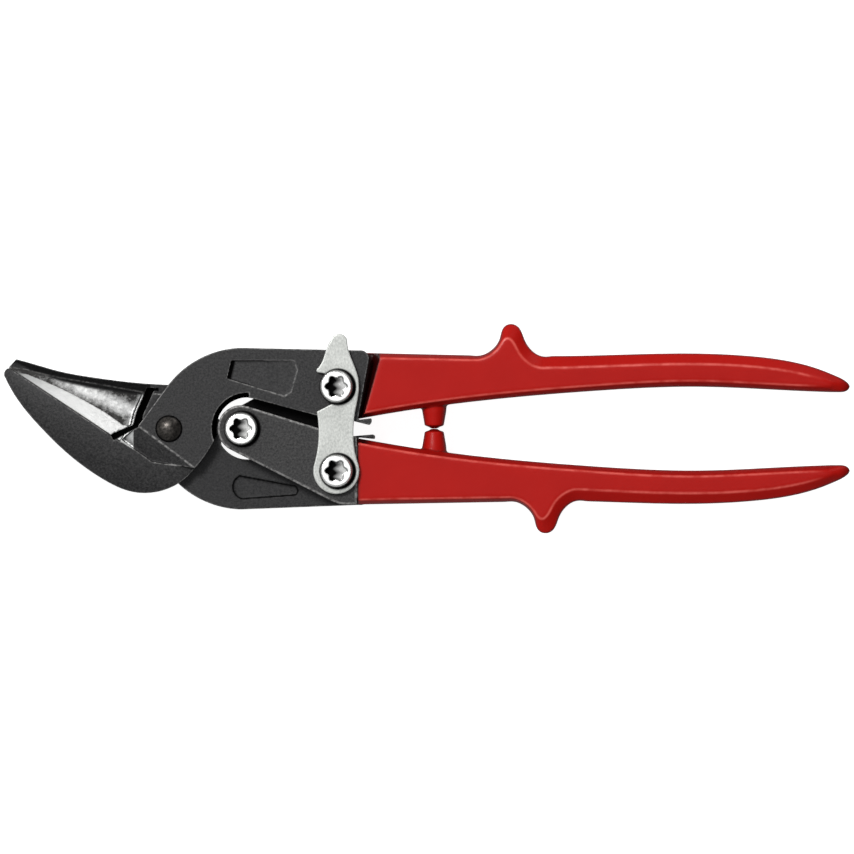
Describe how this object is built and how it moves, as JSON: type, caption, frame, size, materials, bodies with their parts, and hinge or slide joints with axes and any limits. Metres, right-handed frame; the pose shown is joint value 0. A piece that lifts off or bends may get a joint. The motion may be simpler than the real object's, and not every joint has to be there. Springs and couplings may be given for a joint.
{
  "type": "aviation snips",
  "caption": "Compound-leverage sheet-metal snips with a bowl-shaped lower blade, a narrow upper blade, linked handles with dipped grips and a swinging latch.",
  "frame": {"origin": "axis of the jaw rivet, on the plane where the two jaws shear", "axes": "+X along the closed tool from the jaw rivet towards the handle ends, +Y towards the upper handle, +Z along every pivot towards the latch side"},
  "size_m": [0.2607, 0.0646, 0.0244],
  "materials": {
    "black_forging": "satin black forging with bare ground bevels",
    "red_coating": "glossy red dipped coating",
    "plated_steel": "bright plated screw steel",
    "latch_steel": "fine satin plated sheet steel",
    "rivet_steel": "dark polished steel",
    "zinc_steel": "zinc plated steel",
    "spring_steel": "oiled spring wire"
  },
  "bodies": {
    "upper_handle": {"upper_handle": "black_forging", "upper_grip_coating": "red_coating", "handle_pivot_screw": "plated_steel", "handle_pivot_washer": "zinc_steel", "handle_pivot_nut": "zinc_steel", "upper_link_screw": "plated_steel", "upper_link_washer": "zinc_steel", "upper_link_nut": "zinc_steel", "opening_spring": "spring_steel"},
    "lower_handle": {"lower_handle": "black_forging", "lower_grip_coating": "red_coating", "lower_link_screw": "plated_steel", "lower_link_washer": "zinc_steel", "lower_link_nut": "zinc_steel"},
    "lower_jaw": {"lower_jaw": "black_forging", "jaw_rivet": "rivet_steel"},
    "upper_jaw": {"upper_jaw": "black_forging"},
    "latch": {"latch": "latch_steel"}
  },
  "joints": [
    {"name": "handle_opening", "type": "hinge", "parent": "upper_handle", "child": "lower_handle", "pos_m": [0.0222, 0, 0], "axis": [0, 0, -1], "range_deg": [0, 26], "deforming": ["opening_spring"]},
    {"name": "upper_link_pivot", "type": "hinge", "parent": "upper_handle", "child": "lower_jaw", "pos_m": [0.0516, 0.013, 0], "axis": [0, 0, -1], "range_deg": [0, 6]},
    {"name": "jaw_pivot", "type": "hinge", "parent": "lower_jaw", "child": "upper_jaw", "pos_m": [0, 0, 0], "axis": [0, 0, -1], "range_deg": [0, 14.5]},
    {"name": "latch_pivot", "type": "hinge", "parent": "lower_handle", "child": "latch", "pos_m": [0.0516, -0.013, 0], "axis": [0, 0, -1], "range_deg": [0, 98]}
  ],
  "couplings": [
    {"joint": "upper_link_pivot", "follows": "handle_opening", "ratio": 0.2246},
    {"joint": "jaw_pivot", "follows": "handle_opening", "ratio": 0.5507},
    {"joint": "latch_pivot", "follows": "handle_opening", "ratio": 3.75}
  ]
}
